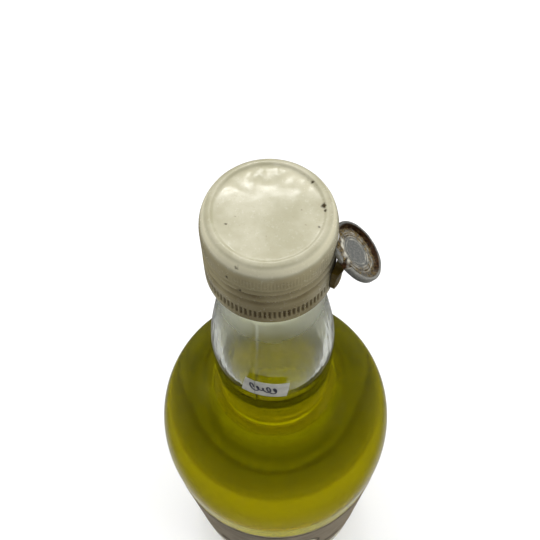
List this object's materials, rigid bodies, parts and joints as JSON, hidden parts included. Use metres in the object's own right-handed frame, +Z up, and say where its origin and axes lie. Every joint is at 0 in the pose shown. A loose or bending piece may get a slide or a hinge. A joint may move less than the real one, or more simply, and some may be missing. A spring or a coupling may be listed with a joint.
{
  "type": "liqueur bottle",
  "caption": "Clear glass bottle with a bulging neck and long round shoulder, filled with yellow-green liqueur, closed by a cream screw cap with a hanging metal seal.",
  "frame": {"origin": "middle of the base, on the surface that the bottle stands on", "axes": "+Z up along the bottle's axis, -Y to the front where the label is, +X to the seal's side"},
  "size_m": [0.0916, 0.0923, 0.3],
  "materials": {
    "clear_glass": "clear, polished",
    "drink": "clear yellow-green liquid",
    "cap_enamel": "worn cream enamel",
    "seal_metal": "pressed, rust-stained",
    "strap_lacquer": "tan lacquer, worn",
    "label_paper": "matt printed paper",
    "sticker_paper": "matt white paper"
  },
  "bodies": {
    "root": {"glass_bottle": "clear_glass", "liqueur": "drink", "screw_cap": "cap_enamel", "seal_disc": "seal_metal", "seal_strap": "strap_lacquer", "body_label": "label_paper", "neck_sticker": "sticker_paper"}
  },
  "joints": []
}
